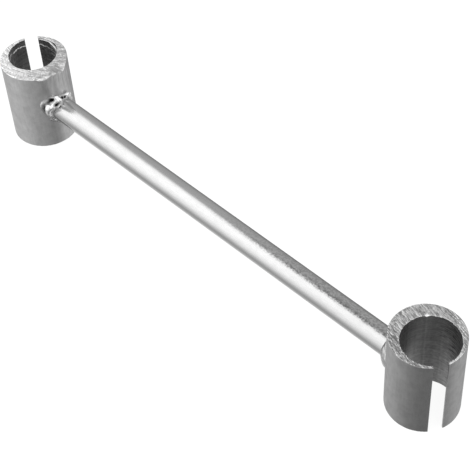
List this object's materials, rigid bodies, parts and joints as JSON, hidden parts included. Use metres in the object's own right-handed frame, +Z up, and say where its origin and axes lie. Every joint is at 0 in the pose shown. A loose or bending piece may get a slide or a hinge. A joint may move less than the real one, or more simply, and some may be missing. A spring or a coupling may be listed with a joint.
{
  "type": "hinge adjusting wrench",
  "caption": "Double-ended hinge adjusting wrench: slotted off-centre bored steel sockets for hinge barrels, welded to the ends of a straight round bar.",
  "frame": {"origin": "midway between the two sockets, on the plane that both of them stand on (centre of the bounding box's bottom)", "axes": "+X along the round bar from the small socket to the large one, +Z up along both bores, +Y completes a right-handed frame"},
  "size_m": [0.19, 0.022, 0.03],
  "materials": {
    "socket_steel": "satin turned steel, dull zinc, sawn ends",
    "bar_steel": "bright drawn bar, light zinc",
    "weld_metal": "shiny, rippled, as welded, zinc over it"
  },
  "bodies": {
    "root": {"handle_rod": "bar_steel", "small_socket": "socket_steel", "large_socket": "socket_steel", "small_socket_weld": "weld_metal", "large_socket_weld": "weld_metal"}
  },
  "joints": []
}
